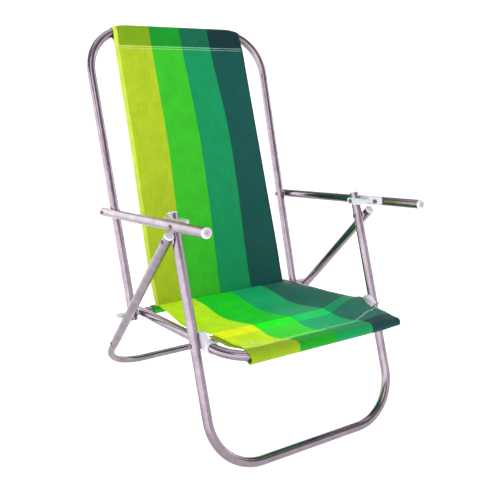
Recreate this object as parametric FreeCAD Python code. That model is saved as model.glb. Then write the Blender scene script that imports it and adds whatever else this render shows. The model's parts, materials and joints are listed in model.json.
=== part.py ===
import FreeCAD, Part
import math
import os

# Folding beach chair: aluminium tube frames, a striped sling and white plastic fittings.
# Millimetres. +Z up, +X to the sitter's left, the chair faces -Y.
# A side-view place is (run, height): run grows towards the back, from the front floor bar's axis.

# ---- driving dimensions -------------------------------------------------------------------
TUBE_R = 11.1            # outer radius of the main tubes (22.2 mm tube)
WALL = 1.5
THIN_R = 9.5             # outer radius of the thin tubes (19 mm tube)
THIN_WALL = 1.2

LEG_LEAN = 21.0          # front legs, degrees back from vertical
BACK_LEAN = 19.4         # back tubes, degrees back from vertical
SEAT_RISE = 7.6          # seat rails and armrests, degrees up towards the front

# half widths between tube axes
FRONT_X = 258.2
REAR_X = 283.4
ARM_X = 285.5
SEAT_X = 232.8
BACK_FOOT_X = 257.0
BACK_TOP_X = 268.0

# distances along the front leg, from the floor bar's axis
SEAT_PIVOT_UP = 284.0
SCISSOR_UP = 515.0
LINK_PIVOT_UP = 554.0
LEG_TOP_UP = 574.0

LINK_SPAN = 347.0        # seat pivot to axle, and arm link pivot to armrest bolt
SIDE_SPAN = 270.0        # axle to armrest bolt, and seat pivot to arm link pivot
BACK_TOP_Z = 937.0
BACK_FOOT_Z = 212.0
REAR_BAR_RUN = 620.0
SEAT_BAR_RUN = -4.3
SEAT_BAR_Z = 272.0
SEAT_RAIL_TAIL = 15.0    # rail beyond the axle

ARM_FRONT = 197.0        # armrest tube ahead of the link pivot
ARM_REAR = 17.0          # armrest tube behind its bolt
ARM_BOLT_AHEAD = 60.0    # link bolt ahead of the link pivot
ARM_SLOT_TRAVEL = 4.6    # the link bolt moves this far in the link's slot

REAR_TOP_PAST = 20.0     # rear leg beyond the scissor bolt
SLEEVED_END = 146.0      # thick rear tube's end, from the rear floor bar's axis
OVERLAP = 42.0           # thin tube inside the thick one
SCREW_UP = 10.0          # locking screw above the thick tube's end

FRONT_BEND = 118.0
REAR_BEND = 122.0
BACK_BEND = 116.0
SEAT_BEND = 98.0
RAIL_BEND = 80.0

AXLE_R = 5.0
STUB_R = 6.35
STUB_END_X = 305.0
STUB_CAP = 4.0           # closed, rounded end of the axle's white sleeve
BOLT_R = 3.0
HEAD_R = 5.2
HEAD_T = 2.6
CLEAR = 0.1              # between pieces that don't move on each other
RUN_CLEAR = 0.08         # between a pin and the piece that turns on it
FACE_GAP = 0.2           # between a bolt head or washer and the face it sits on
SCREW_R = 1.8
SCREW_HEAD_R = 3.4
SCREW_HEAD_T = 1.8
SCREW_EDGE = 1.2
SCREW_START = 6.5        # screw tip, outboard of the rear tube's axis
HEAD_EDGE = 1.6
WASHER_R = 8.0
AXLE_WASHER_R = 9.0
BUSH_WALL = 2.5
BUSH_LONG = 18.0

SLING_W = 400.0
SLING_T = 2.0
SLEEVE_R = 12.6          # sewn sleeve round a 22.2 mm bar
SLING_START = 30.0       # sling solids start this far from the axle
CROSSBAR_SLEEVE_T = 1.6
SLEEVE_INSET = 2.0       # sewn sleeves end this far before the bar's bends
SEAT_NOTCH = 72.0        # the seat panel is cut back this far at the front corners
BACK_NOTCH = 50.0        # and the back panel this far at the top corners

SADDLE_REAR = 16.0       # the saddle's sheath on the rail, behind and ahead of its pivot
SADDLE_FRONT = 30.0
SADDLE_WALL = 2.4
SADDLE_CORNER = 4.0
SADDLE_EAR = ((-15, -8), (-15, 20), (-6, 27), (3, 27), (21, 13), (21, -8))  # ahead, up

PLATE_IN = 269.6         # arm link's near plate, inner and outer face
PLATE_OUT = 272.0
STRIP_IN = 242.6         # arm link's far strip, inner and outer face
STRIP_OUT = 246.6
LINK_TAIL = 24.0         # arm link's near plate, behind and ahead of its pivot, below and above
LINK_NOSE = 85.0
LINK_LOW = 7.0
LINK_HIGH = 12.0
LINK_CORNER = 7.0
LINK_BOSS_R = 9.5
STRIP_TAIL = 13.0
STRIP_HALF = 8.0
STRIP_CORNER = 5.0
BRIDGE_FROM = 37.0
BRIDGE_TO = 42.0
BRIDGE_HALF = 5.0
ARM_SLOT_R = BOLT_R + 0.8

LEG_CAP_T = 3.0          # plugs: thickness outside the tube, length inside it
LEG_CAP_STEM = 8.0
REAR_CAP_T = 4.0
ARM_REAR_CAP_T = 4.0
ARM_REAR_STEM = 7.0
ARM_FRONT_CAP_T = 5.0
ARM_FRONT_STEM = 14.0


# ---- side-view geometry -------------------------------------------------------------------
def heading(degrees_back):
    """Side-view direction leaning back from vertical."""
    angle = math.radians(degrees_back)
    return (math.sin(angle), math.cos(angle))


def along(start, direction, distance):
    return (start[0] + direction[0] * distance, start[1] + direction[1] * distance)


LEG = heading(LEG_LEAN)
BACK = heading(BACK_LEAN)
SEAT = heading(90.0 - SEAT_RISE)
FORWARD = (-SEAT[0], SEAT[1])
FORWARD_NORMAL = (SEAT[1], SEAT[0])

FRONT_BAR = (0.0, TUBE_R)
SEAT_PIVOT = along(FRONT_BAR, LEG, SEAT_PIVOT_UP)
SCISSOR = along(FRONT_BAR, LEG, SCISSOR_UP)
LINK_PIVOT = along(FRONT_BAR, LEG, LINK_PIVOT_UP)
LEG_TOP = along(FRONT_BAR, LEG, LEG_TOP_UP)
AXLE = along(SEAT_PIVOT, FORWARD, -LINK_SPAN)
ARM_BOLT = along(AXLE, LEG, SIDE_SPAN)
LINK_BOLT = along(LINK_PIVOT, FORWARD, ARM_BOLT_AHEAD)
BACK_MID = along(AXLE, LEG, SIDE_SPAN / 2)
BACK_TOP = along(BACK_MID, BACK, (BACK_TOP_Z - BACK_MID[1]) / BACK[1])
BACK_FOOT = along(BACK_MID, BACK, (BACK_FOOT_Z - BACK_MID[1]) / BACK[1])
REAR_BAR = (REAR_BAR_RUN, THIN_R)
SEAT_BAR = (SEAT_BAR_RUN, SEAT_BAR_Z)

# the origin is under the middle of the chair's box
FRONT_MOST = SEAT_BAR_RUN - SLEEVE_R
REAR_MOST = BACK_TOP[0] + SLEEVE_R
RUN_CENTRE = (FRONT_MOST + REAR_MOST) / 2


def unit(start, end):
    length = math.hypot(end[0] - start[0], end[1] - start[1])
    return ((end[0] - start[0]) / length, (end[1] - start[1]) / length)


REAR_UP = unit(REAR_BAR, SCISSOR)


def place(x, side_point):
    return FreeCAD.Vector(x, side_point[0] - RUN_CENTRE, side_point[1])


def back_x(side_point):
    """Half width of the back frame at a height: it widens upwards."""
    share = (side_point[1] - BACK_FOOT_Z) / (BACK_TOP_Z - BACK_FOOT_Z)
    return BACK_FOOT_X + (BACK_TOP_X - BACK_FOOT_X) * share


# ---- solid helpers ------------------------------------------------------------------------
def bent_path(points, radii):
    """Straight runs joined by tangent arcs; radii has one value per inner point."""
    edges = []
    start = points[0]
    for index in range(1, len(points) - 1):
        corner = points[index]
        before = (points[index - 1] - corner).normalize()
        after = (points[index + 1] - corner).normalize()
        half = before.getAngle(after) / 2
        reach = radii[index - 1] / math.tan(half)
        first = corner + before * reach
        last = corner + after * reach
        middle_way = (before + after).normalize()
        middle = corner + middle_way * (radii[index - 1] / math.sin(half) - radii[index - 1])
        edges.append(Part.LineSegment(start, first).toShape())
        edges.append(Part.Arc(first, middle, last).toShape())
        start = last
    edges.append(Part.LineSegment(start, points[-1]).toShape())
    return Part.Wire(edges)


def rod_along(points, radii, radius):
    path = bent_path(points, radii)
    direction = (points[1] - points[0]).normalize()
    ring = Part.Wire(Part.makeCircle(radius, points[0], direction))
    return path.makePipeShell([ring], True, False)


def bent_tube(points, radii, radius, wall):
    return rod_along(points, radii, radius).cut(rod_along(points, radii, radius - wall))


def rod(start, end, radius):
    return Part.makeCylinder(radius, (end - start).Length, start, end - start)


def straight_tube(start, end, radius, wall):
    return rod(start, end, radius).cut(rod(start, end, radius - wall))


def cross_rod(side_point, radius, x_from, x_to):
    """A cylinder across the chair."""
    return rod(place(x_from, side_point), place(x_to, side_point), radius)


def cross_ring(side_point, outer, inner, x_from, x_to):
    return cross_rod(side_point, outer, x_from, x_to).cut(cross_rod(side_point, inner, x_from, x_to))


def domed_rod(side_point, radius, x_from, x_to, edge):
    """A cylinder across the chair with a rounded edge at x_to."""
    body = cross_rod(side_point, radius, x_from, x_to)
    rim = [e for e in body.Edges if abs(e.CenterOfMass.x - x_to) < 0.01]
    return body.makeFillet(edge, rim)


def plug(end, direction, tube_radius, wall, cap, stem):
    """A tube plug: rounded cap outside, stem inside. direction points out of the tube."""
    lid = Part.makeCylinder(tube_radius, cap, end, direction)
    outer_edge = [e for e in lid.Edges if (e.CenterOfMass - end).dot(direction) > cap - 0.01]
    lid = lid.makeFillet(cap * 0.7, outer_edge)
    inside = Part.makeCylinder(tube_radius - wall - CLEAR, stem, end - direction * stem, direction)
    return lid.fuse(inside).removeSplitter()


def side_bolt(side_point, side, x_in, x_out, head_in=True, head_out=True):
    """A bolt across one side of the chair, with a domed head outboard and a domed nut inboard."""
    body = cross_rod(side_point, BOLT_R, side * x_in, side * x_out)
    if head_out:
        body = body.fuse(domed_rod(side_point, HEAD_R, side * x_out, side * (x_out + HEAD_T), HEAD_EDGE))
    if head_in:
        body = body.fuse(domed_rod(side_point, HEAD_R, side * x_in, side * (x_in - HEAD_T), HEAD_EDGE))
    return body.removeSplitter()


def side_plate(outline, x_from, x_to):
    """A flat plate cut to a side-view outline, between two x values."""
    corners = [place(x_from, point) for point in outline]
    face = Part.Face(Part.makePolygon(corners + [corners[0]]))
    return face.extrude(FreeCAD.Vector(x_to - x_from, 0, 0))


def forward_point(base, ahead, up):
    return along(along(base, FORWARD, ahead), FORWARD_NORMAL, up)


def bar_box(base, ahead_from, ahead_to, up_from, up_to, x_from, x_to):
    """A box set in line with the seat and armrests."""
    corners = ((ahead_from, up_from), (ahead_to, up_from), (ahead_to, up_to), (ahead_from, up_to))
    outline = [forward_point(base, ahead, up) for ahead, up in corners]
    return side_plate(outline, x_from, x_to)


def round_vertical_edges(body, radius):
    """Round a plate's corners, the edges that run across the chair."""
    edges = [e for e in body.Edges if abs(abs(e.tangentAt(e.FirstParameter).x) - 1) < 1e-6]
    return body.makeFillet(radius, edges)


def save(name, solids):
    shape = Part.makeCompound(solids)
    shape.exportStep("parts/" + name + ".step")
    print(name, len(shape.Solids), "solids", round(shape.Volume / 1000, 1), "cm3", shape.isValid())


def both_sides(maker):
    return [maker(-1), maker(1)]


# ---- front leg frame ----------------------------------------------------------------------
def front_leg_frame():
    points = [place(-FRONT_X, LEG_TOP), place(-FRONT_X, FRONT_BAR),
              place(FRONT_X, FRONT_BAR), place(FRONT_X, LEG_TOP)]
    frame = bent_tube(points, [FRONT_BEND, FRONT_BEND], TUBE_R, WALL)
    for pivot in (SEAT_PIVOT, SCISSOR, LINK_PIVOT):
        frame = frame.cut(cross_rod(pivot, BOLT_R + CLEAR, -FRONT_X - 20, FRONT_X + 20))
    return frame


def leg_cap(side):
    up = FreeCAD.Vector(0, LEG[0], LEG[1])
    return plug(place(side * FRONT_X, LEG_TOP), up, TUBE_R, WALL, LEG_CAP_T, LEG_CAP_STEM)


def seat_pivot_bolt(side):
    return side_bolt(SEAT_PIVOT, side, SEAT_X - TUBE_R - SADDLE_WALL - FACE_GAP, FRONT_X + TUBE_R + FACE_GAP)


def scissor_bolt(side):
    return side_bolt(SCISSOR, side, FRONT_X - TUBE_R - FACE_GAP, REAR_X + TUBE_R + FACE_GAP)


def scissor_washer(side):
    inner = side * (FRONT_X + TUBE_R + CLEAR)
    outer = side * (REAR_X - TUBE_R - CLEAR)
    return cross_ring(SCISSOR, WASHER_R, BOLT_R + CLEAR, inner, outer)


def link_pivot_bolt(side):
    return side_bolt(LINK_PIVOT, side, STRIP_IN - FACE_GAP, PLATE_OUT - FACE_GAP, head_out=False)


# ---- rear leg frame -----------------------------------------------------------------------
LEG_SCREW = along(REAR_BAR, REAR_UP, SLEEVED_END + SCREW_UP)


def screw_hole(side):
    return cross_rod(LEG_SCREW, SCREW_R + CLEAR, side * (REAR_X + TUBE_R / 2), side * (REAR_X + TUBE_R * 2))


def rear_leg(side):
    low = along(REAR_BAR, REAR_UP, SLEEVED_END)
    high = along(SCISSOR, REAR_UP, REAR_TOP_PAST)
    leg = straight_tube(place(side * REAR_X, low), place(side * REAR_X, high), TUBE_R, WALL)
    across = TUBE_R * 2
    leg = leg.cut(cross_rod(SCISSOR, BOLT_R + RUN_CLEAR, side * (REAR_X - across), side * (REAR_X + across)))
    return leg.cut(screw_hole(side))


def rear_floor_bar():
    top = along(REAR_BAR, REAR_UP, SLEEVED_END + OVERLAP)
    points = [place(-REAR_X, top), place(-REAR_X, REAR_BAR), place(REAR_X, REAR_BAR), place(REAR_X, top)]
    bar = bent_tube(points, [REAR_BEND, REAR_BEND], THIN_R, THIN_WALL)
    return bar.cut(screw_hole(-1)).cut(screw_hole(1))


def rear_leg_cap(side):
    up = FreeCAD.Vector(0, REAR_UP[0], REAR_UP[1])
    top = along(SCISSOR, REAR_UP, REAR_TOP_PAST)
    return plug(place(side * REAR_X, top), up, TUBE_R, WALL, REAR_CAP_T, LEG_CAP_STEM)


def rear_leg_screw(side):
    face = REAR_X + TUBE_R + CLEAR
    shank = cross_rod(LEG_SCREW, SCREW_R, side * (REAR_X + SCREW_START), side * face)
    head = domed_rod(LEG_SCREW, SCREW_HEAD_R, side * face, side * (face + SCREW_HEAD_T), SCREW_EDGE)
    return shank.fuse(head).removeSplitter()


# ---- seat frame ---------------------------------------------------------------------------
CROSSBAR_HALF = SEAT_X - TUBE_R - 2 * FACE_GAP


def seat_loop(radius):
    """A rod of any radius along the seat tube's path."""
    tail = along(AXLE, FORWARD, -SEAT_RAIL_TAIL)
    points = [place(-SEAT_X, tail), place(-SEAT_X, SEAT_PIVOT), place(-SEAT_X, SEAT_BAR),
              place(SEAT_X, SEAT_BAR), place(SEAT_X, SEAT_PIVOT), place(SEAT_X, tail)]
    return rod_along(points, [RAIL_BEND, SEAT_BEND, SEAT_BEND, RAIL_BEND], radius)


def seat_frame():
    frame = seat_loop(TUBE_R).cut(seat_loop(TUBE_R - WALL))
    across = SEAT_X + 2 * TUBE_R
    frame = frame.cut(cross_rod(AXLE, AXLE_R + CLEAR, -across, across))
    return frame.cut(cross_rod(SEAT_PIVOT, BOLT_R + RUN_CLEAR, -across, across))


def seat_saddle(side):
    """White saddle at the rail's pivot: a sheath round the rail and an ear against the front leg."""
    reach = 2 * TUBE_R
    stretch = bar_box(SEAT_PIVOT, -SADDLE_REAR, SADDLE_FRONT, -reach, reach,
                      side * (SEAT_X - reach), side * (SEAT_X + reach))
    sheath = seat_loop(TUBE_R + SADDLE_WALL).common(stretch)
    outline = [forward_point(SEAT_PIVOT, ahead, up) for ahead, up in SADDLE_EAR]
    ear = side_plate(outline, side * SEAT_X, side * (FRONT_X - TUBE_R - FACE_GAP))
    saddle = sheath.fuse(round_vertical_edges(ear, SADDLE_CORNER))
    saddle = saddle.cut(seat_loop(TUBE_R + CLEAR))
    return saddle.cut(cross_rod(SEAT_PIVOT, BOLT_R + RUN_CLEAR, 0, side * FRONT_X)).removeSplitter()


def seat_axle():
    half = STUB_END_X - STUB_CAP
    return cross_rod(AXLE, AXLE_R, -half, half)


def rear_crossbar():
    return cross_ring(AXLE, THIN_R, AXLE_R + BUSH_WALL, -CROSSBAR_HALF, CROSSBAR_HALF)


def crossbar_bush(side):
    inner = side * (CROSSBAR_HALF - BUSH_LONG)
    return cross_ring(AXLE, AXLE_R + BUSH_WALL - CLEAR, AXLE_R + CLEAR, side * CROSSBAR_HALF, inner)


def leg_rest_sleeve(side):
    start = back_x(AXLE) + TUBE_R + 3 * FACE_GAP
    sleeve = domed_rod(AXLE, STUB_R, side * start, side * STUB_END_X, STUB_CAP)
    bore_end = STUB_END_X - STUB_CAP + FACE_GAP
    return sleeve.cut(cross_rod(AXLE, AXLE_R + CLEAR, side * start, side * bore_end))


def axle_washer(side):
    inner = SEAT_X + TUBE_R + FACE_GAP
    outer = back_x(AXLE) - TUBE_R - FACE_GAP
    return cross_ring(AXLE, AXLE_WASHER_R, AXLE_R + CLEAR, side * inner, side * outer)


def sling_panel(start, end, half_width):
    """A thin flat panel between two side-view points."""
    way = unit(start, end)
    normal = (way[1], -way[0])
    half = SLING_T / 2
    outline = [along(start, normal, half), along(end, normal, half),
               along(end, normal, -half), along(start, normal, -half)]
    return side_plate(outline, -half_width, half_width)


def bar_sleeve(side_point, half_width):
    return cross_ring(side_point, SLEEVE_R, TUBE_R + FACE_GAP, -half_width, half_width)


def seat_sling():
    front = (SEAT_BAR[0], SEAT_BAR[1] + (SLEEVE_R + TUBE_R) / 2)
    start = along(AXLE, unit(AXLE, front), SLING_START)
    panel = sling_panel(start, front, SLING_W / 2)
    panel = panel.cut(cross_rod(SEAT_BAR, TUBE_R + FACE_GAP, -SLING_W, SLING_W))
    sleeve_half = SEAT_X - SEAT_BEND - SLEEVE_INSET
    for side in (-1, 1):
        corner = bar_box(SEAT_BAR, -SEAT_NOTCH, SEAT_NOTCH, -SEAT_NOTCH, SEAT_NOTCH,
                         side * sleeve_half, side * SLING_W)
        panel = panel.cut(corner)
    return panel.fuse(bar_sleeve(SEAT_BAR, sleeve_half)).removeSplitter()


def crossbar_sleeve():
    return cross_ring(AXLE, THIN_R + CROSSBAR_SLEEVE_T, THIN_R + FACE_GAP, -SLING_W / 2, SLING_W / 2)


# ---- back frame ---------------------------------------------------------------------------
def back_frame():
    points = [place(-BACK_FOOT_X, BACK_FOOT), place(-BACK_TOP_X, BACK_TOP),
              place(BACK_TOP_X, BACK_TOP), place(BACK_FOOT_X, BACK_FOOT)]
    frame = bent_tube(points, [BACK_BEND, BACK_BEND], TUBE_R, WALL)
    across = BACK_TOP_X + TUBE_R
    frame = frame.cut(cross_rod(AXLE, AXLE_R + RUN_CLEAR, -across, across))
    return frame.cut(cross_rod(ARM_BOLT, BOLT_R + CLEAR, -across, across))


def back_sling():
    start = along(AXLE, unit(AXLE, BACK_TOP), SLING_START)
    panel = sling_panel(start, BACK_TOP, SLING_W / 2)
    panel = panel.cut(cross_rod(BACK_TOP, TUBE_R + FACE_GAP, -SLING_W, SLING_W))
    sleeve_half = BACK_TOP_X - BACK_BEND - SLEEVE_INSET
    for side in (-1, 1):
        low = BACK_TOP[1] - BACK_NOTCH
        high = BACK_TOP[1] + BACK_NOTCH
        outline = [(BACK_TOP[0] - BACK_NOTCH, low), (BACK_TOP[0] + BACK_NOTCH, low),
                   (BACK_TOP[0] + BACK_NOTCH, high), (BACK_TOP[0] - BACK_NOTCH, high)]
        panel = panel.cut(side_plate(outline, side * sleeve_half, side * SLING_W))
    return panel.fuse(bar_sleeve(BACK_TOP, sleeve_half)).removeSplitter()


def armrest_bolt(side):
    return side_bolt(ARM_BOLT, side, back_x(ARM_BOLT) - TUBE_R - FACE_GAP, ARM_X + TUBE_R + FACE_GAP)


def armrest_washer(side):
    inner = back_x(ARM_BOLT) + TUBE_R + FACE_GAP
    outer = ARM_X - TUBE_R - FACE_GAP
    return cross_ring(ARM_BOLT, WASHER_R, BOLT_R + CLEAR, side * inner, side * outer)


# ---- armrests and their links -------------------------------------------------------------
def armrest(side):
    rear = along(ARM_BOLT, FORWARD, -ARM_REAR)
    front = along(LINK_PIVOT, FORWARD, ARM_FRONT)
    bar = straight_tube(place(side * ARM_X, rear), place(side * ARM_X, front), TUBE_R, WALL)
    inner = side * (ARM_X - 2 * TUBE_R)
    outer = side * (ARM_X + 2 * TUBE_R)
    bar = bar.cut(cross_rod(ARM_BOLT, BOLT_R + RUN_CLEAR, inner, outer))
    return bar.cut(cross_rod(LINK_BOLT, BOLT_R + CLEAR, inner, outer))


def armrest_plugs(side):
    forwards = FreeCAD.Vector(0, FORWARD[0], FORWARD[1])
    rear = place(side * ARM_X, along(ARM_BOLT, FORWARD, -ARM_REAR))
    front = place(side * ARM_X, along(LINK_PIVOT, FORWARD, ARM_FRONT))
    return [plug(rear, forwards * -1, TUBE_R, WALL, ARM_REAR_CAP_T, ARM_REAR_STEM),
            plug(front, forwards, TUBE_R, WALL, ARM_FRONT_CAP_T, ARM_FRONT_STEM)]


def link_bolt(side):
    return side_bolt(LINK_BOLT, side, PLATE_IN - FACE_GAP, ARM_X + TUBE_R + FACE_GAP)


def arm_link(side):
    """White link between leg top and armrest: a long near plate, a short far strip and a bridge."""
    plate = bar_box(LINK_PIVOT, -LINK_TAIL, LINK_NOSE, -LINK_LOW, LINK_HIGH,
                    side * PLATE_IN, side * PLATE_OUT)
    plate = round_vertical_edges(plate, LINK_CORNER)
    boss = cross_rod(LINK_BOLT, LINK_BOSS_R, side * PLATE_IN, side * PLATE_OUT)
    strip = bar_box(LINK_PIVOT, -STRIP_TAIL, BRIDGE_TO, -STRIP_HALF, STRIP_HALF,
                    side * STRIP_IN, side * STRIP_OUT)
    strip = round_vertical_edges(strip, STRIP_CORNER)
    bridge = bar_box(LINK_PIVOT, BRIDGE_FROM, BRIDGE_TO, -BRIDGE_HALF, BRIDGE_HALF,
                     side * (STRIP_IN + 1), side * (PLATE_OUT - 1))
    link = plate.fuse(boss).fuse(strip).fuse(bridge)
    inner = side * (STRIP_IN - TUBE_R)
    outer = side * (PLATE_OUT + TUBE_R)
    link = link.cut(cross_rod(LINK_PIVOT, BOLT_R + RUN_CLEAR, inner, outer))
    slot_near = side * (PLATE_IN - TUBE_R)
    slot_far = along(LINK_BOLT, FORWARD, ARM_SLOT_TRAVEL)
    slot = cross_rod(LINK_BOLT, ARM_SLOT_R, slot_near, outer)
    slot = slot.fuse(cross_rod(slot_far, ARM_SLOT_R, slot_near, outer))
    slot = slot.fuse(bar_box(LINK_BOLT, 0, ARM_SLOT_TRAVEL, -ARM_SLOT_R, ARM_SLOT_R, slot_near, outer))
    return link.cut(slot).removeSplitter()


# ---- write every sub-part -----------------------------------------------------------------
os.makedirs("parts", exist_ok=True)

save("front_leg_frame", [front_leg_frame()])
save("front_leg_caps", both_sides(leg_cap))
save("seat_pivot_bolts", both_sides(seat_pivot_bolt))
save("scissor_bolts", both_sides(scissor_bolt))
save("scissor_washers", both_sides(scissor_washer))
save("link_pivot_bolts", both_sides(link_pivot_bolt))

save("rear_floor_bar", [rear_floor_bar()])
save("rear_leg_caps", both_sides(rear_leg_cap))
save("rear_leg_screws", both_sides(rear_leg_screw))

save("seat_frame", [seat_frame()])
save("seat_axle", [seat_axle()])
save("rear_crossbar", [rear_crossbar()])
save("crossbar_bushes", both_sides(crossbar_bush))
save("leg_rest_sleeves", both_sides(leg_rest_sleeve))
save("axle_washers", both_sides(axle_washer))
save("seat_sling", [seat_sling()])
save("crossbar_sleeve", [crossbar_sleeve()])

save("back_frame", [back_frame()])
save("back_sling", [back_sling()])
save("armrest_bolts", both_sides(armrest_bolt))
save("armrest_washers", both_sides(armrest_washer))

for side_name, side_sign in (("right", -1), ("left", 1)):
    save(side_name + "_rear_leg", [rear_leg(side_sign)])
    save(side_name + "_seat_saddle", [seat_saddle(side_sign)])
    save(side_name + "_armrest", [armrest(side_sign)])
    save(side_name + "_armrest_plugs", armrest_plugs(side_sign))
    save(side_name + "_link_bolt", [link_bolt(side_sign)])
    save(side_name + "_arm_link", [arm_link(side_sign)])

for label, pivot in (("seat pivot", SEAT_PIVOT), ("scissor", SCISSOR), ("link pivot", LINK_PIVOT),
                     ("axle", AXLE), ("armrest bolt", ARM_BOLT), ("link bolt", LINK_BOLT),
                     ("back top", BACK_TOP), ("back foot", BACK_FOOT), ("seat bar", SEAT_BAR),
                     ("rear bar", REAR_BAR), ("front bar", FRONT_BAR), ("leg top", LEG_TOP)):
    spot = place(0, pivot)
    print(label, round(spot.y, 3), round(spot.z, 3))
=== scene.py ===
import json
import math

import bpy
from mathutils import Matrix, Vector, noise


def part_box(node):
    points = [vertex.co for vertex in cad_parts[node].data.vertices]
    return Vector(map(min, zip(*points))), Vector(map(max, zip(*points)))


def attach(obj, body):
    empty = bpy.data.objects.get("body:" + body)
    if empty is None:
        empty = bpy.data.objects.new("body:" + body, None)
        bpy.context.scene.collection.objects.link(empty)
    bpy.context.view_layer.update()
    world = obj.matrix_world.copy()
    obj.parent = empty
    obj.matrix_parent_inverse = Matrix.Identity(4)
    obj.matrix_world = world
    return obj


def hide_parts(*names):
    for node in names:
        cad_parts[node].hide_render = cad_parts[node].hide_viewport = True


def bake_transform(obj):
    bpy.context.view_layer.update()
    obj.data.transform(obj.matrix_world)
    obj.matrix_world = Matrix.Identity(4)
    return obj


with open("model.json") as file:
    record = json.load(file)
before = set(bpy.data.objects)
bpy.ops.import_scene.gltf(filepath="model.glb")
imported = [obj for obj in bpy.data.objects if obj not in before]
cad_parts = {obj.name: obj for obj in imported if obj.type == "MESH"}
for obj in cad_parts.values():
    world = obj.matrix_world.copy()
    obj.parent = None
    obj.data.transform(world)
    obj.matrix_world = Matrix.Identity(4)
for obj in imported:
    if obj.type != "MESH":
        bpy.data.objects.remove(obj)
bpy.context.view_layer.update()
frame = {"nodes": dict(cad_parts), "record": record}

nodes = frame["nodes"]
scene = bpy.context.scene
MM = 0.001

# ---- camera -------------------------------------------------------------------------------
CAMERA_PLACE = (-0.87606, -1.41768, 0.88244)
CAMERA_AZIMUTH = -32.74
CAMERA_ELEVATION = 16.38
CAMERA_ROLL = 1.43
CAMERA_LENS = 47.91
SENSOR = 36.0


def add_camera():
    data = bpy.data.cameras.new("camera")
    data.lens = CAMERA_LENS
    data.sensor_width = SENSOR
    data.clip_start = 0.05
    data.clip_end = 60.0
    camera = bpy.data.objects.new("camera", data)
    scene.collection.objects.link(camera)
    azimuth = math.radians(CAMERA_AZIMUTH)
    elevation = math.radians(CAMERA_ELEVATION)
    roll = math.radians(CAMERA_ROLL)
    back = Vector((math.sin(azimuth) * math.cos(elevation), -math.cos(azimuth) * math.cos(elevation),
                   math.sin(elevation)))
    right = Vector((math.cos(azimuth), math.sin(azimuth), 0.0))
    up = back.cross(right)
    right, up = right * math.cos(roll) + up * math.sin(roll), up * math.cos(roll) - right * math.sin(roll)
    matrix = camera.matrix_world.copy()
    for row in range(3):
        matrix[row][0] = right[row]
        matrix[row][1] = up[row]
        matrix[row][2] = back[row]
        matrix[row][3] = CAMERA_PLACE[row]
    camera.matrix_world = matrix
    scene.camera = camera


add_camera()
scene.view_settings.view_transform = "Standard"


# ---- materials ----------------------------------------------------------------------------
class Nodes:
    """Short names for building a node material."""

    def __init__(self, name):
        self.material = bpy.data.materials.new(name)
        self.material.use_nodes = True
        self.tree = self.material.node_tree
        self.shader = self.tree.nodes["Principled BSDF"]

    def add(self, kind, **settings):
        node = self.tree.nodes.new(kind)
        for key, value in settings.items():
            setattr(node, key, value)
        return node

    def link(self, source, target):
        self.tree.links.new(source, target)

    def coords(self, scale=(1, 1, 1)):
        """Object coordinates, stretched by scale."""
        mapping = self.add("ShaderNodeMapping")
        mapping.inputs["Scale"].default_value = scale
        self.link(self.add("ShaderNodeTexCoord").outputs["Object"], mapping.inputs["Vector"])
        return mapping.outputs["Vector"]

    def noise(self, vector, scale, detail=3.0, rough=0.5):
        node = self.add("ShaderNodeTexNoise")
        self.link(vector, node.inputs["Vector"])
        node.inputs["Scale"].default_value = scale
        node.inputs["Detail"].default_value = detail
        node.inputs["Roughness"].default_value = rough
        return node.outputs["Fac"]

    def span(self, value, low, high, from_low=0.3, from_high=0.7):
        node = self.add("ShaderNodeMapRange")
        self.link(value, node.inputs["Value"])
        node.inputs["From Min"].default_value = from_low
        node.inputs["From Max"].default_value = from_high
        node.inputs["To Min"].default_value = low
        node.inputs["To Max"].default_value = high
        return node.outputs["Result"]

    def math(self, operation, first, second=0.0):
        node = self.add("ShaderNodeMath", operation=operation)
        for index, value in enumerate((first, second)):
            if isinstance(value, (int, float)):
                node.inputs[index].default_value = value
            else:
                self.link(value, node.inputs[index])
        return node.outputs["Value"]

    def ramp(self, value, stops, interpolation="LINEAR"):
        node = self.add("ShaderNodeValToRGB")
        ramp = node.color_ramp
        ramp.interpolation = interpolation
        while len(ramp.elements) < len(stops):
            ramp.elements.new(0.5)
        for element, (position, colour) in zip(ramp.elements, stops):
            element.position = position
            element.color = (*colour, 1.0)
        self.link(value, node.inputs["Fac"])
        return node.outputs["Color"]

    def scaled(self, colour, value):
        """A colour times a grey value."""
        node = self.add("ShaderNodeVectorMath", operation="SCALE")
        self.link(colour, node.inputs[0])
        self.link(value, node.inputs["Scale"])
        return node.outputs["Vector"]

    def mixed(self, share, first, second):
        node = self.add("ShaderNodeMix", data_type="RGBA")
        self.link(share, node.inputs[0])
        for index, colour in ((6, first), (7, second)):
            if isinstance(colour, tuple):
                node.inputs[index].default_value = (*colour, 1.0)
            else:
                self.link(colour, node.inputs[index])
        return node.outputs[2]

    def bump(self, height, strength, distance):
        node = self.add("ShaderNodeBump")
        node.inputs["Strength"].default_value = strength
        node.inputs["Distance"].default_value = distance
        self.link(height, node.inputs["Height"])
        self.link(node.outputs["Normal"], self.shader.inputs["Normal"])


def linear(red, green, blue):
    """A 0-255 display colour as linear light."""
    result = []
    for value in (red, green, blue):
        share = value / 255
        result.append(share / 12.92 if share <= 0.04045 else ((share + 0.055) / 1.055) ** 2.4)
    return tuple(result)


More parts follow.
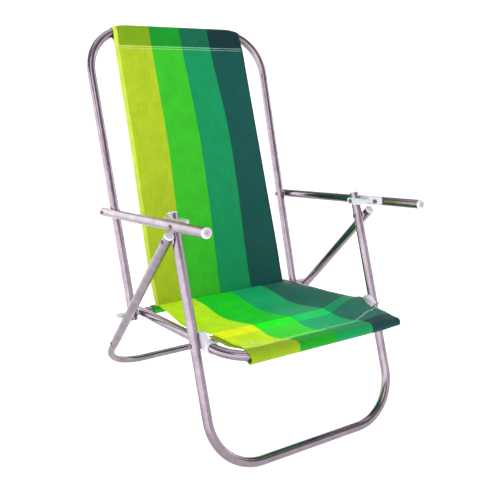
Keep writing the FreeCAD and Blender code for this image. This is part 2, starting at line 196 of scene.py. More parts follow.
def metal(name, low, high, rough, grain, specks=0.0):
    """Metal with fine drawing lines and soft cloudy stains; grain stretches the lines."""
    made = Nodes(name)
    shader = made.shader
    shader.inputs["Metallic"].default_value = 1.0
    cloud = made.noise(made.coords(), 28.0, 4.0, 0.6)
    lines = made.noise(made.coords(grain), 1.0, 2.0, 0.5)
    colour = made.ramp(cloud, ((0.34, low), (0.66, high)))
    shade = made.math("MULTIPLY_ADD", lines, 0.16)
    shade.node.inputs[2].default_value = 0.92
    made.link(made.scaled(colour, shade), shader.inputs["Base Color"])
    made.link(made.span(lines, rough - 0.05, rough + 0.08), shader.inputs["Roughness"])
    made.bump(made.math("ADD", lines, made.math("MULTIPLY", cloud, specks)), 0.05, 0.0002)
    return made.material


def plastic(name, colour, shade, rough):
    """Moulded plastic: a faint uneven tone, fine orange-peel and slightly dull patches."""
    made = Nodes(name)
    shader = made.shader
    broad = made.noise(made.coords(), 45.0, 3.0, 0.55)
    fine = made.noise(made.coords(), 900.0, 2.0, 0.5)
    made.link(made.ramp(broad, ((0.3, shade), (0.6, colour))), shader.inputs["Base Color"])
    made.link(made.span(broad, rough - 0.06, rough + 0.1), shader.inputs["Roughness"])
    shader.inputs["Specular IOR Level"].default_value = 0.5
    made.bump(fine, 0.12, 0.0002)
    return made.material


CLOTH_WIDTH = 0.400
LIGHT_EDGE_COLOUR = linear(214, 236, 84)
# painted shade: the colour and width of a dark strip along the cloth's far edge, where the folded hem curves
# away from the light
EDGE_SHADE_COLOUR = linear(4, 40, 34)
EDGE_SHADE_WIDTH = 0.004
WARP_PITCH = 0.0011
WEFT_PITCH = 0.0013


def fabric(name, colours, bands=(), selvedge=0.0, gain=1.0):
    """Coated plain weave. UV is in metres: U across the stripes as cut, V along the cloth.
    bands is a list of (from, to, colours): stretches painted in brighter and darker copies of the stripes'
    colours, as painted light and shade.
    selvedge is the width of the light edge beside the first stripe, and when it is set a painted shade also
    darkens the far edge; gain scales the brightness."""
    made = Nodes(name)
    shader = made.shader
    uv = made.add("ShaderNodeUVMap", uv_map="cloth").outputs["UV"]
    split = made.add("ShaderNodeSeparateXYZ")
    made.link(uv, split.inputs[0])
    across, lengthwise = split.outputs["X"], split.outputs["Y"]
    share = made.math("DIVIDE", across, CLOTH_WIDTH)

    def stripes(four):
        edges = (0.0, 0.25, 0.5, 0.75)
        return made.ramp(share, tuple(zip(edges, four)), "CONSTANT")

    colour = stripes(colours)
    for start, end, four in bands:
        inside = made.math("MULTIPLY", made.math("GREATER_THAN", lengthwise, start),
                           made.math("LESS_THAN", lengthwise, end))
        colour = made.mixed(inside, colour, stripes(four))
    if selvedge:
        edge = made.math("LESS_THAN", across, selvedge)
        colour = made.mixed(edge, colour, LIGHT_EDGE_COLOUR)
        # painted shade along the far edge
        shaded_far_edge = made.math("GREATER_THAN", across, CLOTH_WIDTH - EDGE_SHADE_WIDTH)
        colour = made.mixed(shaded_far_edge, colour, EDGE_SHADE_COLOUR)

    stretch = made.add("ShaderNodeMapping")
    stretch.inputs["Scale"].default_value = (420.0, 22.0, 1.0)
    made.link(uv, stretch.inputs["Vector"])
    streaks = made.noise(stretch.outputs["Vector"], 1.0, 3.0, 0.6)
    mottle = made.noise(uv, 24.0, 4.0, 0.6)
    shade = made.math("MULTIPLY", made.span(streaks, 0.90, 1.09), made.span(mottle, 0.90, 1.10))
    shade = made.math("MULTIPLY", shade, gain)

    tau = 2 * math.pi
    warp = made.math("SINE", made.math("MULTIPLY", across, tau / WARP_PITCH))
    weft = made.math("SINE", made.math("MULTIPLY", lengthwise, tau / WEFT_PITCH))
    weave = made.math("MULTIPLY", warp, weft)
    shade = made.math("MULTIPLY", shade, made.span(weave, 0.94, 1.05, -1.0, 1.0))
    made.link(made.scaled(colour, shade), shader.inputs["Base Color"])
    made.link(made.span(mottle, 0.50, 0.66), shader.inputs["Roughness"])
    shader.inputs["Sheen Weight"].default_value = 0.02
    shader.inputs["Sheen Roughness"].default_value = 0.5
    shader.inputs["Specular IOR Level"].default_value = 0.14
    made.bump(made.math("ADD", made.math("MULTIPLY", weave, 0.5), streaks), 0.35, 0.0004)
    return made.material


# each is yellow, green, emerald and teal, as the cloth shows them in one place
SEAT_COLOURS = (linear(196, 246, 22), linear(16, 210, 30), linear(0, 168, 100), linear(26, 100, 84))
# painted light: a brighter copy of the stripes for the band where the lower layer begins under the seat
LIT_BAND_COLOURS = (linear(240, 255, 4), linear(8, 248, 16), linear(0, 214, 96), linear(0, 146, 94))
# painted shade: a duller copy of the stripes from the band forward to the turn round the front bar
SHADED_FRONT_COLOURS = (linear(206, 240, 26), linear(56, 226, 44), linear(16, 176, 110), linear(40, 108, 92))
# painted shade: a darker copy of the stripes on the turn round the front bar and the lower layer under it
SHADED_SLEEVE_COLOURS = (linear(140, 170, 12), linear(14, 152, 24), linear(0, 144, 78), linear(0, 58, 58))
BACK_COLOURS = (linear(178, 204, 34), linear(56, 196, 36), linear(0, 150, 90), linear(0, 82, 76))
SHADE_COLOURS = (linear(126, 168, 10), linear(14, 150, 34), linear(0, 104, 74), linear(0, 46, 50))

aluminium = metal("satin_aluminium", (0.235, 0.185, 0.22), (0.30, 0.25, 0.295), 0.19, (240, 240, 16), 0.1)
steel = metal("drawn_steel", (0.42, 0.40, 0.42), (0.62, 0.60, 0.62), 0.30, (12, 300, 300), 0.5)
zinc = metal("zinc_plate", (0.13, 0.10, 0.12), (0.24, 0.20, 0.22), 0.33, (160, 160, 160), 1.0)
white = plastic("white_moulding", linear(208, 206, 214), linear(196, 193, 203), 0.36)
thread = plastic("sewing_thread", linear(236, 240, 226), linear(214, 222, 200), 0.6)
screw_metal = metal("rusty_screw", linear(120, 66, 48), linear(160, 110, 96), 0.5, (200, 200, 200), 1.0)

SLOT_MATERIAL = {"aluminium_tube": aluminium, "steel_rod": steel, "zinc_fastener": zinc,
                 "white_plastic": white, "striped_sling": white}
for part in frame["record"]["subparts"]:
    mesh = nodes[part["node"]].data
    mesh.materials.clear()
    mesh.materials.append(SLOT_MATERIAL[part["material_slot"]])
nodes["rear_leg_screws"].data.materials[0] = screw_metal


# ---- places -------------------------------------------------------------------------------
def middle(low_high):
    """Middle of a box from its two corners."""
    return (low_high[0] + low_high[1]) / 2


SEAT_RISE = math.radians(7.6)
BACK_LEAN = math.radians(19.4)
axle = middle(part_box("seat_axle"))
seat_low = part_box("seat_frame")[0]
back_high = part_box("back_frame")[1]
TUBE = 11.1              # radius of the frames' tube
FRONT_BAR_Z = 0.272
SEAT_HALF = 232.8
SEAT_BEND = 98.0
SEAT_STRAIGHT = SEAT_HALF - SEAT_BEND
BACK_HALF = 268.0
BACK_BEND = 116.0
BACK_STRAIGHT = BACK_HALF - BACK_BEND
FORWARD = Vector((0, -math.cos(SEAT_RISE), math.sin(SEAT_RISE)))
SEAT_UP = Vector((0, math.sin(SEAT_RISE), math.cos(SEAT_RISE)))
BACK_UP = Vector((0, math.sin(BACK_LEAN), math.cos(BACK_LEAN)))
BACK_OUT = Vector((0, -math.cos(BACK_LEAN), math.sin(BACK_LEAN)))


def seat_coordinates(point):
    """How far ahead of the axle along the seat, and above it, in millimetres."""
    offset = point - axle
    return offset.dot(FORWARD) / MM, offset.dot(SEAT_UP) / MM


# axes of the front bar and the top bar, a tube's radius in from their frames' boxes
front_bar = Vector((0, seat_low.y + TUBE * MM, FRONT_BAR_Z))
top_bar = Vector((0, back_high.y - TUBE * MM, back_high.z - TUBE * MM))
BAR_D, BAR_H = seat_coordinates(front_bar)
TOP_U = (top_bar - axle).dot(BACK_UP) / MM
TOP_N = (top_bar - axle).dot(BACK_OUT) / MM


def seat_point(x, d, h):
    """x across, d ahead of the axle along the seat, h above it, in millimetres."""
    return Vector((x * MM, 0, 0)) + Vector((0, axle.y, axle.z)) + (FORWARD * d + SEAT_UP * h) * MM


def back_point(x, u, n):
    """x across, u up the back from the axle, n in front of it, in millimetres."""
    return Vector((x * MM, 0, 0)) + Vector((0, axle.y, axle.z)) + (BACK_UP * u + BACK_OUT * n) * MM


def smooth(share):
    """0 to 1 with a soft start and end, held outside that range."""
    share = min(max(share, 0.0), 1.0)
    return share * share * (3 - 2 * share)


def between(table, value):
    """Smooth curve through (position, value) pairs."""
    if value <= table[0][0]:
        return table[0][1]
    for index in range(len(table) - 1):
        (x0, y0), (x1, y1) = table[index], table[index + 1]
        if value <= x1:
            before = table[index - 1] if index else table[index]
            after = table[index + 2] if index + 2 < len(table) else table[index + 1]
            slope0 = (y1 - before[1]) / (x1 - before[0])
            slope1 = (after[1] - y0) / (after[0] - x0)
            t = (value - x0) / (x1 - x0)
            step = x1 - x0
            return ((2 * t**3 - 3 * t**2 + 1) * y0 + (t**3 - 2 * t**2 + t) * step * slope0
                    + (3 * t**2 - 2 * t**3) * y1 + (t**3 - t**2) * step * slope1)
    return table[-1][1]


def wrinkle(x, along, seed, size=1.0):
    """Small lengthwise ripples of a slack, coated cloth, in millimetres."""
    fine = noise.noise(Vector((x / 9, along / 55, seed)))
    broad = noise.noise(Vector((x / 46, along / 120, seed + 7)))
    return size * (0.35 * fine + 0.9 * broad)


# ---- building meshes ----------------------------------------------------------------------
STRIPE_COLUMNS = 18
COLUMNS = STRIPE_COLUMNS * 4 + 1
CLOTH_THICK = 1.1 * MM


def mesh_piece(name, points, faces, material):
    """A smooth-shaded object from points and faces."""
    mesh = bpy.data.meshes.new(name)
    mesh.from_pydata([tuple(p) for p in points], [], faces)
    for polygon in mesh.polygons:
        polygon.use_smooth = True
    mesh.materials.append(material)
    piece = bpy.data.objects.new(name, mesh)
    scene.collection.objects.link(piece)
    return piece


def ring_faces(rings, sides, base=0):
    """Faces between each ring of points and the next; base is the first point's number."""
    faces = []
    for first in range(base, base + (rings - 1) * sides, sides):
        for side in range(sides):
            after = (side + 1) % sides
            faces.append((first + side, first + after, first + sides + after, first + sides + side))
    return faces


def cloth_mesh(name, rows, lengths, material, thick=CLOTH_THICK):
    """A sheet from rows of points; lengths gives each row's V. The points are the cloth's middle."""
    points = [point for row in rows for point in row]
    faces = []
    for r in range(len(rows) - 1):
        for c in range(COLUMNS - 1):
            first = r * COLUMNS + c
            faces.append((first, first + 1, first + 1 + COLUMNS, first + COLUMNS))
    piece = mesh_piece(name, points, faces, material)
    mesh = piece.data
    layer = mesh.uv_layers.new(name="cloth")
    for loop in mesh.loops:
        row, column = divmod(loop.vertex_index, COLUMNS)
        layer.data[loop.index].uv = (CLOTH_WIDTH * column / (COLUMNS - 1), lengths[row])
    solid = piece.modifiers.new("thickness", "SOLIDIFY")
    solid.thickness = thick
    solid.offset = 0.0
    apply_modifiers(piece)
    return piece


def apply_modifiers(piece):
    graph = bpy.context.evaluated_depsgraph_get()
    mesh = bpy.data.meshes.new_from_object(piece.evaluated_get(graph))
    piece.modifiers.clear()
    piece.data = mesh


def stripe_x(edges, column):
    """x of a column, from a row's -X edge, three stripe borders and +X edge."""
    place = column / STRIPE_COLUMNS
    return between(tuple(enumerate(edges)), place) if 0 < place < 4 else edges[0 if place <= 0 else 4]


def edges_at(table, value):
    """The row's five x values, from a table of (position, five values)."""
    return [between(tuple((position, values[i]) for position, values in table), value) for i in range(5)]


# ---- seat ---------------------------------------------------------------------------------
# d runs ahead from the axle along the seat and h stands above it, in millimetres
CREASE_D = 9.0
CREASE_H = 11.0
SEAT_END = 430.0         # the panel's ripples have died out here
# (d, h) along the middle of the panel
SEAT_PROFILE = ((9, 11.0), (20, 10), (44, 7.5), (82, 1.5), (110, -5), (140, -10.5), (170, -12.5),
                (200, -12), (245, -8), (285, -5), (300, -7.5), (320, -12), (347, -17.5), (385, -16.5),
                (430, -9.5))
# (d, x of the five edges of the four stripes)
SEAT_EDGES = ((9, (-190, -84, 30, 133, 208)), (94, (-190, -82, 31, 135, 212)),
              (213, (-189, -77, 34, 139, 221)), (281, (-183, -72, 37, 142, 228)),
              (324, (-170, -68, 40, 145, 236)), (370, (-160, -65, 42, 147, 243)),
              (381, (-161, -64, 42, 147, 238)), (390, (-163, -63, 43, 147, 226)),
              (402, (-168, -63, 43, 148, 226)), (414, (-174, -62, 43, 148, 233)),
              (430, (-184, -62, 43, 148, 236)))
BAR_EDGES = (-187, -62, 43, 148, 236)
RAIL_TOP = 15.5
RAIL_LEVEL = 366.0       # ahead of this the rail falls by RAIL_FALL for each millimetre
RAIL_FALL = 0.174
SADDLE_LIFT = 5.5        # the cloth rides up over the saddle between these two
SADDLE_FROM = 300.0
SADDLE_TO = 392.0
PULL_FROM = 128.0        # x where the +X edge starts to rise, and the width of that rise
PULL_WIDTH = 88.0
BEND_REACH = 95.0        # the bent tube is followed this far past its straight, short of SEAT_BEND
TUBE_GAP = 1.6
SLEEVE_OUT = 12.4        # radius of the cloth's turn round the bar
SLEEVE_FLATTEN = 3.2
LAYER_GAP = 2.4

TUCK_R = 12.4            # the tuck round the crossbar's back
TUCK_TURN = math.radians(18)
TUCK_STEPS = 6
SEAT_STEP = 4.5
PANEL_END = 441.0
WRAP_START = 5.0         # degrees from straight up
WRAP_END = 186.0
WRAP_TURN = 15.0
WRAP_LEAD = 12.0         # cloth between the panel's last row and the turn's first
FLAP_START = 442.0
FLAP_BACK = 285.0
FLAP_EDGE = 216.0        # x of the lower layer's +X edge, and of its -X edge at the front
FLAP_FRONT_EDGE = -184.0
FLAP_SPREAD = 12.0


def seat_height(x, d):
    """The panel sags in the middle; its +X edge is pulled up over the rail."""
    base = between(SEAT_PROFILE, d)
    edge = RAIL_TOP - max(0.0, (d - RAIL_LEVEL) * RAIL_FALL)
    edge += SADDLE_LIFT * smooth((d - SADDLE_FROM) / 35) * smooth((SADDLE_TO - d) / 18)
    edge = CREASE_H + (edge - CREASE_H) * smooth(d / 120)
    pull = smooth((x - PULL_FROM) / PULL_WIDTH)
    ripple = wrinkle(x, d, 1.0) * smooth((d - CREASE_D) / 30) * smooth((SEAT_END - d) / 60)
    return base + (edge - base) * pull + ripple


def behind_at(x):
    """How far the bent tube's axis lies behind the bar's axis at x."""
    beyond = min(max(abs(x) - SEAT_STRAIGHT, 0.0), BEND_REACH)
    return SEAT_BEND - math.sqrt(SEAT_BEND * SEAT_BEND - beyond * beyond)


def fold_radius(x):
    """Radius of the turn in front: the sleeve runs straight past the bar's bends and flattens there."""
    return SLEEVE_OUT - SLEEVE_FLATTEN * smooth((behind_at(x) - 6.0) / 50.0)


def sleeve_face(x, d, way):
    """Height of the sleeve's top (way 1) or underside (way -1): along the bent tube, then to the turn."""
    behind = behind_at(x)
    front = BAR_H + way * fold_radius(x)
    if behind < 2.0:
        return front
    tube = BAR_H + RAIL_FALL * behind + way * (TUBE + TUBE_GAP)
    return tube + (front - tube) * smooth((d - BAR_D + behind) / behind)


def upper_height(x, d):
    """Height of the upper layer: the panel, rising onto the sleeve."""
    h = seat_height(x, d)
    lead = smooth((d - (BAR_D - behind_at(x) - 62)) / 48)
    return h + (sleeve_face(x, d, 1) - h) * lead


def bar_wrap(x, turn):
    """A point of the turn round the bar: turn is 0 straight up and a quarter circle straight ahead."""
    radius = fold_radius(x)
    ahead = SLEEVE_OUT - radius + radius * math.sin(turn)
    return seat_point(x, BAR_D + ahead, BAR_H + radius * math.cos(turn))


def seat_rows():
    """The tuck behind the crossbar, the upper layer, the turn round the bar, and the lower layer."""
    rows, lengths = [], []
    run = -(TUCK_STEPS * TUCK_TURN * TUCK_R + CREASE_D + TUCK_TURN * TUCK_R * 0.5) * MM

    def add(row, step):
        nonlocal run
        run += step * MM
        rows.append(row)
        lengths.append(run)

    edges = SEAT_EDGES[0][1]
    for step in range(TUCK_STEPS + 1):
        turn = TUCK_TURN * (TUCK_STEPS - step)
        row = [seat_point(stripe_x(edges, column), -TUCK_R * math.sin(turn), TUCK_R * math.cos(turn))
               for column in range(COLUMNS)]
        add(row, TUCK_R * TUCK_TURN if rows else 0.0)
    run = -SEAT_STEP * MM
    d = CREASE_D
    while d < PANEL_END:
        edges = edges_at(SEAT_EDGES, d)
        places = [stripe_x(edges, column) for column in range(COLUMNS)]
        add([seat_point(x, d, upper_height(x, d)) for x in places], SEAT_STEP)
        d += SEAT_STEP
    turn = WRAP_START
    while turn <= WRAP_END:
        row = [bar_wrap(stripe_x(BAR_EDGES, column), math.radians(turn)) for column in range(COLUMNS)]
        add(row, SLEEVE_OUT * math.radians(WRAP_TURN) if turn > WRAP_START else WRAP_LEAD)
        turn += WRAP_TURN
    d = FLAP_START
    while d >= FLAP_BACK:
        edges = edges_at(SEAT_EDGES, d)
        edges[4] = FLAP_EDGE + (BAR_EDGES[4] - FLAP_EDGE) * smooth((d - 424) / 18)
        if d > 425:
            edges[0] = min(edges[0], FLAP_FRONT_EDGE)
        spread = FLAP_SPREAD * smooth((400 - d) / 60)
        row = []
        for column in range(COLUMNS):
            x = stripe_x(edges, column) - spread * max(0.0, 1 - column / STRIPE_COLUMNS)
            under = sleeve_face(x, d, -1)
            h = upper_height(x, d) - LAYER_GAP
            meet = smooth((BAR_D - behind_at(x) - 14 - d) / 24)
            row.append(seat_point(x, d, under + (h - under) * meet))
        add(row, SEAT_STEP)
        d -= SEAT_STEP
    return rows, lengths


seat_grid, seat_runs = seat_rows()
# V where the seat's painted light and shade begin and end: the brighter band, the duller front and the
# darker turn
BAND_FROM = (282.0 - CREASE_D) * MM
BAND_TO = (316.0 - CREASE_D) * MM
WRAP_FROM = (428.0 - CREASE_D) * MM
PAST_END = 2.0
seat_cloth_material = fabric("seat_weave", SEAT_COLOURS, bands=(
    (BAND_FROM, BAND_TO, LIT_BAND_COLOURS), (BAND_TO, WRAP_FROM, SHADED_FRONT_COLOURS),
    (WRAP_FROM, PAST_END, SHADED_SLEEVE_COLOURS)))
seat_cloth = cloth_mesh("seat_cloth", seat_grid, seat_runs, seat_cloth_material)

# ---- back ---------------------------------------------------------------------------------
# u runs up the back from the axle and n stands in front of it, in millimetres
# (height above the floor in millimetres, x of the five edges of the four stripes)
BACK_EDGES = ((240, (-196, -114, 0, 101, 212)), (340, (-200, -101, 4, 102, 213)),
              (490, (-198, -95, 6, 105, 209)), (690, (-196, -90, 8, 105, 204)),
              (890, (-196, -91, 1, 90, 199)), (937, (-194, -92, 0, 88, 194)))
BACK_START = 7.0
CREASE_N = 11.0
PANEL_N = 8.2
BULGE = 11.0
PUCKER = 0.8
TOP_SLEEVE = 12.4        # radius of the cloth's turn round the top bar
SEAM_BELOW = 45.0
HEM_BELOW = 54.0
BACK_STEP = 6.0
TOP_START = 8.0          # degrees from straight ahead of the bar
TOP_END = 184.0
TOP_TURN = 16.0
HEM_STEP = 5.0
HEM_RUN = 5.4            # cloth used by one step of the hem
GATHER = 0.8             # share of the bent tube's fall that the cloth follows


def back_bar_place(flat_x):
    """Where the bent top tube runs: centre x, distance below the bar, and the turn's angle."""
    beyond = abs(flat_x) - BACK_STRAIGHT
    if beyond <= 0:
        return flat_x, 0.0, 0.0
    angle = beyond / BACK_BEND
    side = 1 if flat_x > 0 else -1
    return (side * (BACK_STRAIGHT + BACK_BEND * math.sin(angle)), BACK_BEND * (1 - math.cos(angle)),
            side * angle)


def back_depth(x, u):
    """How far the panel stands in front of the axle line."""
    near = smooth((u - BACK_START) / 60)
    rise = CREASE_N + (PANEL_N - CREASE_N) * near
    swell = BULGE * math.sin(math.pi * smooth(u / 720)) * max(0.0, 1 - (x / 205.0) ** 2)
    puckers = PUCKER * math.sin(x / 7.3 + 2 * noise.noise(Vector((x / 30, 0, 3)))) * smooth((u - 640) / 50)
    puckers *= smooth((TOP_U - SEAM_BELOW - u) / 12)
    return rise + swell + wrinkle(x, u, 4.0) * near * smooth((700 - u) / 60) + puckers


def back_rows():
    """The panel, the turn over the top bar, and the hem behind."""
    rows, lengths = [], []
    run = 0.0
    u = BACK_START
    while u < TOP_U - 2:
        edges = edges_at(BACK_EDGES, back_point(0, u, 8).z / MM)
        row = []
        for column in range(COLUMNS):
            x = stripe_x(edges, column)
            below = back_bar_place(x)[1]
            lead = smooth((u - TOP_U + 44 + below) / 40)
            n = back_depth(x, u)
            row.append(back_point(x, u - lead * below * GATHER, n + (TOP_N + TOP_SLEEVE - n) * lead))
        rows.append(row)
        lengths.append(run)
        u += BACK_STEP
        run += BACK_STEP * MM
    turn = TOP_START
    while turn <= TOP_END:
        edges = BACK_EDGES[-1][1]
        row = []
        for column in range(COLUMNS):
            x, below, angle = back_bar_place(stripe_x(edges, column))
            reach = TOP_SLEEVE * math.sin(math.radians(turn))
            row.append(back_point(x + reach * math.sin(angle), TOP_U - below + reach * math.cos(angle),
                                  TOP_N + TOP_SLEEVE * math.cos(math.radians(turn))))
        rows.append(row)
        lengths.append(run)
        turn += TOP_TURN
        run += TOP_SLEEVE * math.radians(TOP_TURN) * MM
    fall = HEM_STEP
    while fall <= HEM_BELOW:
        u = TOP_U - fall
        edges = edges_at(BACK_EDGES, back_point(0, u, 0).z / MM)
        meet = smooth(fall / 42)
        behind = TOP_N - TOP_SLEEVE
        row = []
        for column in range(COLUMNS):
            x = stripe_x(edges, column)
            below = back_bar_place(x)[1]
            front = back_depth(x, u) - LAYER_GAP
            row.append(back_point(x, u - below * GATHER * (1 - meet), behind + (front - behind) * meet))
        rows.append(row)
        lengths.append(run)
        fall += HEM_STEP
        run += HEM_RUN * MM
    return rows, lengths


back_grid, back_runs = back_rows()
TOP_SEAM_V = (TOP_U - BACK_START - SEAM_BELOW) * MM
TOP_CREST_V = (TOP_U - BACK_START + 8.0) * MM
back_cloth_material = fabric("back_weave", BACK_COLOURS, selvedge=0.011, gain=0.76, bands=(
    (TOP_SEAM_V, TOP_CREST_V, SHADE_COLOURS),))
back_cloth = cloth_mesh("back_cloth", back_grid, back_runs, back_cloth_material)

# ---- sleeve on the rear crossbar ----------------------------------------------------------
CROSSBAR_R = 9.5
SLEEVE_FROM = -205.0
SLEEVE_TO = 209.0
SLEEVE_STEPS = 28
LAP_STEPS = 3
# painted shade: a darker, greener copy of the stripes, because the sleeve on the rear crossbar sits in shade
CROSSBAR_SHADE_COLOURS = (linear(40, 150, 36), linear(34, 140, 44), linear(10, 120, 70), linear(6, 80, 66))


def crossbar_rows():
    """Once round the crossbar, with a short lap."""
    rows, lengths = [], []
    for step in range(SLEEVE_STEPS + LAP_STEPS):
        turn = 2 * math.pi * step / SLEEVE_STEPS
        lap = 1.3 * smooth((step - SLEEVE_STEPS + 4) / 5)
        row = []
        for column in range(COLUMNS):
            share = column / (COLUMNS - 1)
            x = SLEEVE_FROM + (SLEEVE_TO - SLEEVE_FROM) * share
            slack = 0.5 + 0.35 * noise.noise(Vector((x / 16, math.sin(turn) * 1.5, math.cos(turn) * 1.5)))
            radius = CROSSBAR_R + 0.85 + slack + lap
            row.append(seat_point(x, -radius * math.sin(turn), -radius * math.cos(turn)))
        rows.append(row)
        lengths.append((CROSSBAR_R + 1.5) * turn * MM)
    return rows, lengths


sleeve_grid, sleeve_runs = crossbar_rows()
shaded_crossbar_material = fabric("crossbar_shaded_weave", CROSSBAR_SHADE_COLOURS)
crossbar_cloth = cloth_mesh("crossbar_cloth", sleeve_grid, sleeve_runs, shaded_crossbar_material, 0.9 * MM)


# ---- stitching ----------------------------------------------------------------------------
THREAD_R = 0.45
THREAD_SIDES = 6
THREAD_LIFT = 0.55
# place along the stitch, thickness and lift of its rings
STITCH_PROFILE = ((-0.5, 0.25, -0.25), (-0.3, 0.85, 0.25), (0.0, 1.0, 0.45), (0.3, 0.85, 0.25),
                  (0.5, 0.25, -0.25))
SEAT_TOP_ROWS = 96       # end of the rows of the seat grid searched for a place on its top
BACK_FRONT_ROWS = 128    # rows of the back grid searched for a height on its front


def stitches(name, lines, pitch, length):
    """Rows of raised thread along lines of (point, outward) pairs."""
    points, faces = [], []
    for line in lines:
        travelled = due = 0.0
        for (start, start_out), (end, end_out) in zip(line, line[1:]):
            span = (end - start).length / MM
            way = (end - start).normalized()
            while due < travelled + span:
                share = (due - travelled) / max(span, 1e-6)
                centre = start.lerp(end, share)
                out = start_out.lerp(end_out, share).normalized()
                side = way.cross(out).normalized()
                base = len(points)
                for place, fat, lift in STITCH_PROFILE:
                    ring = centre + way * place * length * MM + out * lift * MM
                    for corner in range(THREAD_SIDES):
                        angle = 2 * math.pi * corner / THREAD_SIDES
                        offset = (side * math.cos(angle) + out * math.sin(angle)) * THREAD_R * fat * MM
                        points.append(ring + offset)
                faces += ring_faces(len(STITCH_PROFILE), THREAD_SIDES, base)
                faces.append(tuple(base + corner for corner in reversed(range(THREAD_SIDES))))
                last = base + (len(STITCH_PROFILE) - 1) * THREAD_SIDES
                faces.append(tuple(last + corner for corner in range(THREAD_SIDES)))
                due += pitch
            travelled += span
    return mesh_piece(name, points, faces, thread)


def seat_line(places):
    """A line on the seat's top through (x, d) places."""
    line = []
    for (x0, d0), (x1, d1) in zip(places, places[1:]):
        count = max(2, int(math.hypot(x1 - x0, d1 - d0) / 6))
        for step in range(count + 1):
            share = step / count
            x = x0 + (x1 - x0) * share
            d = d0 + (d1 - d0) * share
            line.append((seat_surface(x, d) + SEAT_UP * THREAD_LIFT * MM, SEAT_UP))
    return line


def seat_surface(x, d):
    """A point on the built seat grid near (x, d)."""
    row = min(seat_grid[TUCK_STEPS + 1:SEAT_TOP_ROWS],
              key=lambda r: abs((r[COLUMNS // 2] - axle).dot(FORWARD) / MM - d))
    for first, second in zip(row, row[1:]):
        if first.x / MM <= x <= second.x / MM:
            return first.lerp(second, (x - first.x / MM) / ((second.x - first.x) / MM))
    return row[0] if x < row[0].x / MM else row[-1]


def zigzag(x, d, reach_x, reach_d, teeth, wide):
    """A bar tack: a short zigzag."""
    places = []
    length = math.hypot(reach_x, reach_d)
    for tooth in range(teeth + 1):
        share = tooth / teeth
        off = wide / 2 * (1 if tooth % 2 else -1)
        places.append((x + reach_x * share - reach_d / length * off,
                       d + reach_d * share + reach_x / length * off))
    return places


seat_stitches = stitches("seat_stitches", [
    seat_line(((-150, 400), (-50, 406), (60, 407), (150, 404), (180, 398), (232, 384))),
    seat_line(((-150, 404), (-50, 410), (60, 411), (150, 408), (184, 401), (232, 388))),
    seat_line(zigzag(-150, 352, 10, 40, 14, 7)),
    seat_line(zigzag(-132, 352, 10, 40, 14, 7)),
    seat_line(zigzag(228, 376, 6, 18, 9, 6)),
], 4.0, 3.2)


def back_line(x0, x1, u):
    """A line across the front of the back."""
    line = []
    row = min(back_grid[:BACK_FRONT_ROWS], key=lambda r: abs((r[COLUMNS // 2] - axle).dot(BACK_UP) / MM - u))
    for point in row:
        if x0 <= point.x / MM <= x1:
            line.append((point + BACK_OUT * THREAD_LIFT * MM, BACK_OUT))
    return line


back_stitches = stitches("back_stitches", [back_line(-192, 196, TOP_U - SEAM_BELOW),
                                           back_line(-192, 196, TOP_U - SEAM_BELOW - 7)], 4.2, 3.2)
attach(seat_stitches, "seat")
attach(back_stitches, "back")

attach(seat_cloth, "seat")
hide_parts("seat_sling")
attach(crossbar_cloth, "seat")
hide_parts("crossbar_sleeve")
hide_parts("back_sling")
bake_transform(back_cloth)


# ---- moulded and pressed details ----------------------------------------------------------
TURNED_SIDES = 40
FACE_DEPTH = 0.00005     # how near the outermost point counts as the outermost face, in metres


def turned(name, place, axis, profile, material, body):
    """A small turned detail: profile is (radius, height along axis) in millimetres, from rim to centre."""
    axis = axis.normalized()
    side = axis.orthogonal().normalized()
    other = axis.cross(side)
    points = []
    for radius, height in profile[:-1]:
        for corner in range(TURNED_SIDES):
            angle = 2 * math.pi * corner / TURNED_SIDES
            points.append(place + (side * math.cos(angle) + other * math.sin(angle)) * radius * MM
                          + axis * height * MM)
    points.append(place + axis * profile[-1][1] * MM)
    faces = ring_faces(len(profile) - 1, TURNED_SIDES)
    last = (len(profile) - 2) * TURNED_SIDES
    for corner in range(TURNED_SIDES):
        faces.append((last + corner, last + (corner + 1) % TURNED_SIDES, len(points) - 1))
    faces.append(tuple(reversed(range(TURNED_SIDES))))
    piece = mesh_piece(name, points, faces, material)
    piece.data.polygons[-1].use_smooth = False
    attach(piece, body)


def furthest(node, way, side):
    """Middle of a node's outermost face on one side of the chair, along a direction."""
    spots = [v.co for v in nodes[node].data.vertices if v.co.x * side > 0]
    reach = max(spot.dot(way) for spot in spots)
    face = [spot for spot in spots if spot.dot(way) > reach - FACE_DEPTH]
    low = Vector([min(spot[i] for spot in face) for i in range(3)])
    high = Vector([max(spot[i] for spot in face) for i in range(3)])
    return (low + high) / 2


PLUG_RIM = ((7.3, -0.3), (7.1, 0.35), (6.5, 0.6), (5.9, 0.35), (5.4, 0.12), (2.0, 0.1), (0.0, 0.1))
PLUG_SPOT = ((1.3, 0.0), (1.2, 0.3), (0.8, 0.42), (0.0, 0.45))
BOLT_SOCKET = ((2.5, -0.2), (2.4, 0.14), (2.0, 0.2), (1.6, 0.12), (0.0, 0.1))
BOLT_DOT = ((1.5, 0.0), (1.4, 0.16), (1.1, 0.22), (0.0, 0.22))
plug_face = plastic("plug_face", linear(190, 170, 182), linear(172, 150, 164), 0.42)
# painted shade: dark discs in the middle of the bolt heads and plug faces stand in for the shade inside
# their sockets
recess_shade = plastic("recess_shade", linear(58, 40, 52), linear(40, 28, 38), 0.5)

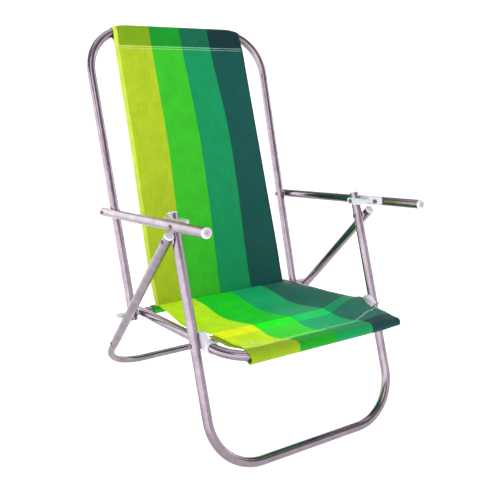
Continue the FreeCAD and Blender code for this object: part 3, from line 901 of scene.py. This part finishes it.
# node, its body, and the sides it shows: 1 outboard, -1 inboard
BOLT_NODES = (("seat_pivot_bolts", "front_legs", (1,)), ("scissor_bolts", "front_legs", (1, -1)),
              ("armrest_bolts", "back", (1, -1)), ("link_pivot_bolts", "front_legs", (-1,)))
for side_name, side in (("right", -1), ("left", 1)):
    arm = side_name + "_arm"
    plugs = side_name + "_armrest_plugs"
    tip = furthest(plugs, FORWARD, side)
    turned(side_name + "_plug_rim", tip, FORWARD, PLUG_RIM, plug_face, arm)
    # a disc of painted shade in the plug's middle
    turned(side_name + "_plug_spot", tip + FORWARD * 0.1 * MM, FORWARD, PLUG_SPOT, recess_shade, arm)
    heads = [(side_name + "_link_bolt", arm, (1, -1))] + [(n, b, ways) for n, b, ways in BOLT_NODES]
    for node, body, ways in heads:
        for way in ways:
            out = Vector((side * way, 0, 0))
            face = furthest(node, out, side)
            label = side_name + "_" + node.replace(side_name + "_", "") + ("_outer" if way > 0 else "_inner")
            turned(label + "_socket", face, out, BOLT_SOCKET, zinc, body)
            # a disc of painted shade in the bolt head's socket
            turned(label + "_dot", face + out * 0.06 * MM, out, BOLT_DOT, recess_shade, body)


# ---- light and floor ----------------------------------------------------------------------
LIGHT_TARGET = (0, 0, 0.4)


def area_light(name, place, size, power):
    data = bpy.data.lights.new(name, "AREA")
    data.shape = "RECTANGLE"
    data.size = size[0]
    data.size_y = size[1]
    data.energy = power
    light = bpy.data.objects.new(name, data)
    scene.collection.objects.link(light)
    light.location = place
    direction = Vector(LIGHT_TARGET) - Vector(place)
    light.rotation_mode = "QUATERNION"
    light.rotation_quaternion = direction.to_track_quat("-Z", "Y")


area_light("key", (-1.5, -1.9, 2.6), (1.6, 1.6), 17)
area_light("side", (2.4, -0.6, 1.5), (1.0, 1.6), 9)
area_light("top", (0.2, 0.6, 2.9), (3.2, 3.0), 40)

world = bpy.data.worlds.new("studio")
scene.world = world
world.use_nodes = True
world.node_tree.nodes["Background"].inputs["Color"].default_value = (0.96, 0.96, 1.0, 1.0)
world.node_tree.nodes["Background"].inputs["Strength"].default_value = 0.34

FLOOR_REACH = 7.0
FLOOR_CURVE = 2.0
FLOOR_WALL = 4.0
FLOOR_STEPS = 12
FLOOR_SIDES = 64
FLOOR_GLOW = 0.92
SIDE_GLOW = 2.1          # the floor is lit more strongly on one side, for the tubes' highlights
SIDE_START = 0.55
SIDE_REACH = 1.35


def studio_floor():
    """A round white floor that curves up into a wall all the way round."""
    profile = [(0.0, 0.0), (1.5, 0.0), (3.5, 0.0)]
    for step in range(FLOOR_STEPS + 1):
        angle = math.radians(90 * step / FLOOR_STEPS)
        profile.append((FLOOR_REACH + FLOOR_CURVE * math.sin(angle), FLOOR_CURVE * (1 - math.cos(angle))))
    profile.append((FLOOR_REACH + FLOOR_CURVE, FLOOR_WALL))
    points = []
    for radius, height in profile:
        for side in range(FLOOR_SIDES):
            turn = 2 * math.pi * side / FLOOR_SIDES
            points.append((radius * math.cos(turn), radius * math.sin(turn), height))
    paint = Nodes("pale_floor")
    paint.shader.inputs["Base Color"].default_value = (0.45, 0.45, 0.45, 1.0)
    paint.shader.inputs["Roughness"].default_value = 0.9
    paint.shader.inputs["Emission Color"].default_value = (1.0, 1.0, 1.0, 1.0)
    split = paint.add("ShaderNodeSeparateXYZ")
    paint.link(paint.coords(), split.inputs[0])
    glow = paint.span(split.outputs["X"], SIDE_GLOW, FLOOR_GLOW, -SIDE_REACH, -SIDE_START)
    paint.link(glow, paint.shader.inputs["Emission Strength"])
    return mesh_piece("floor", points, ring_faces(len(profile), FLOOR_SIDES), paint.material)


floor = studio_floor()
